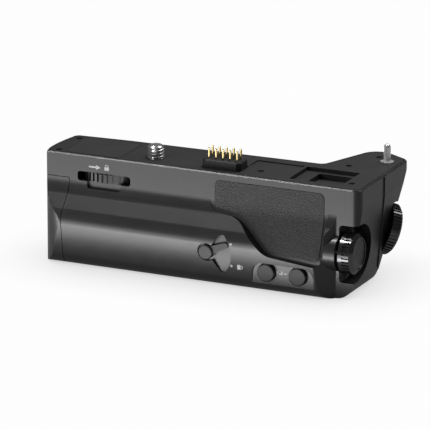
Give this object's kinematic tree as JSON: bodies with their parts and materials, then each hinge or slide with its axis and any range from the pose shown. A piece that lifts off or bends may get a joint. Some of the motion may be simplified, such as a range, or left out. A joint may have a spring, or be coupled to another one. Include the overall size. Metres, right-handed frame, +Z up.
{
  "type": "camera battery grip",
  "caption": "Screw-on battery grip for a camera body: moulded bar with a hand grip, thumb-rest pad, dials, buttons, lock lever, hinged battery door and a camera screw turned by a thumbwheel.",
  "frame": {"origin": "on the camera screw's axis, on the face that the camera rests on", "axes": "+X along the grip to the hand-grip end, +Y away from the operator, +Z up to the camera"},
  "size_m": [0.1353, 0.0608, 0.0499],
  "materials": {
    "housing": "satin black, fine grain",
    "plate": "matt black",
    "label": "matt black, bare",
    "rubber": "leather-grained",
    "inner_plastic": "moulded black",
    "knob": "satin black",
    "brushed_black": "spun, black anodised",
    "bright_steel": "polished",
    "steel": "brushed",
    "black_steel": "blackened",
    "bronze": "sintered",
    "gold": "gold plated",
    "circuit_board": "lacquered"
  },
  "bodies": {
    "housing": {"rear_shell": "housing", "front_shell": "housing", "top_plate": "plate", "label_plate": "label", "thumb_rest_rubber": "rubber", "hand_grip_rubber": "rubber", "battery_bay": "inner_plastic", "contact_carrier": "inner_plastic", "connector_base": "inner_plastic", "shutter_collar": "inner_plastic", "button_switches": "inner_plastic", "lock_switch": "inner_plastic", "rear_encoder": "inner_plastic", "front_encoder": "inner_plastic", "shutter_switch": "inner_plastic", "locating_pin": "bright_steel", "wheel_axle": "steel", "gear_bracket": "steel", "door_hinge_pin": "steel", "tripod_bush": "steel", "eject_spring": "steel", "top_screws": "black_steel", "base_screws": "black_steel", "rear_dial_bush": "bronze", "contact_pins": "gold", "battery_contacts": "gold", "main_board": "circuit_board", "side_board": "circuit_board"},
    "screw": {"camera_screw": "bright_steel", "screw_gear": "steel"},
    "thumbwheel": {"thumbwheel": "knob"},
    "battery_catch": {"battery_catch": "knob"},
    "battery_door": {"battery_door": "housing", "door_liner": "inner_plastic", "door_seal": "rubber"},
    "door_latch": {"door_latch": "knob"},
    "button_1": {"button_1": "knob"},
    "button_2": {"button_2": "knob"},
    "lock_lever": {"lock_lever": "knob", "lever_clip": "steel"},
    "rear_dial": {"rear_dial": "knob", "rear_dial_cap": "brushed_black", "rear_dial_axle": "steel"},
    "front_dial": {"front_dial": "knob"},
    "shutter_button": {"shutter_button": "knob"}
  },
  "joints": [
    {"name": "thumbwheel_turn", "type": "hinge", "parent": "housing", "child": "thumbwheel", "pos_m": [-0.01715, 0.0013, -0.0082], "axis": [0, 0, 1], "continuous": true},
    {"name": "screw_turn", "type": "hinge", "parent": "housing", "child": "screw", "pos_m": [0, 0, 0], "axis": [0, 0, 1], "continuous": true},
    {"name": "rear_dial_turn", "type": "hinge", "parent": "housing", "child": "rear_dial", "pos_m": [0.0844, -0.0074, -0.0252], "axis": [1, 0, 0], "continuous": true},
    {"name": "front_dial_turn", "type": "hinge", "parent": "housing", "child": "front_dial", "pos_m": [0.0864, 0.0259, -0.025], "axis": [0.7251, 0.6041, -0.3305], "continuous": true},
    {"name": "shutter_button_press", "type": "slide", "parent": "housing", "child": "shutter_button", "axis": [-0.7251, -0.6041, 0.3305], "range_m": [0, 0.0008], "stiffness_N_per_m": 400, "springref_m": -0.001},
    {"name": "button_1_press", "type": "slide", "parent": "housing", "child": "button_1", "axis": [0, 1, 0], "range_m": [0, 0.0006], "stiffness_N_per_m": 400, "springref_m": -0.001},
    {"name": "button_2_press", "type": "slide", "parent": "housing", "child": "button_2", "axis": [0, 1, 0], "range_m": [0, 0.0006], "stiffness_N_per_m": 400, "springref_m": -0.001},
    {"name": "lock_lever_turn", "type": "hinge", "parent": "housing", "child": "lock_lever", "pos_m": [0.0289, -0.017, -0.0291], "axis": [0, 1, 0], "range_deg": [0, 46]},
    {"name": "battery_door_swing", "type": "hinge", "parent": "housing", "child": "battery_door", "pos_m": [-0.0316, 0.0125, -0.025], "axis": [0, 0, -1], "range_deg": [0, 100]},
    {"name": "door_latch_slide", "type": "slide", "parent": "battery_door", "child": "door_latch", "axis": [0, 0, -1], "range_m": [0, 0.003]},
    {"name": "battery_catch_slide", "type": "slide", "parent": "housing", "child": "battery_catch", "axis": [0, -1, 0], "range_m": [0, 0.001], "stiffness_N_per_m": 300, "springref_m": -0.001}
  ],
  "couplings": [
    {"joint": "screw_turn", "follows": "thumbwheel_turn", "ratio": -1.2632}
  ]
}
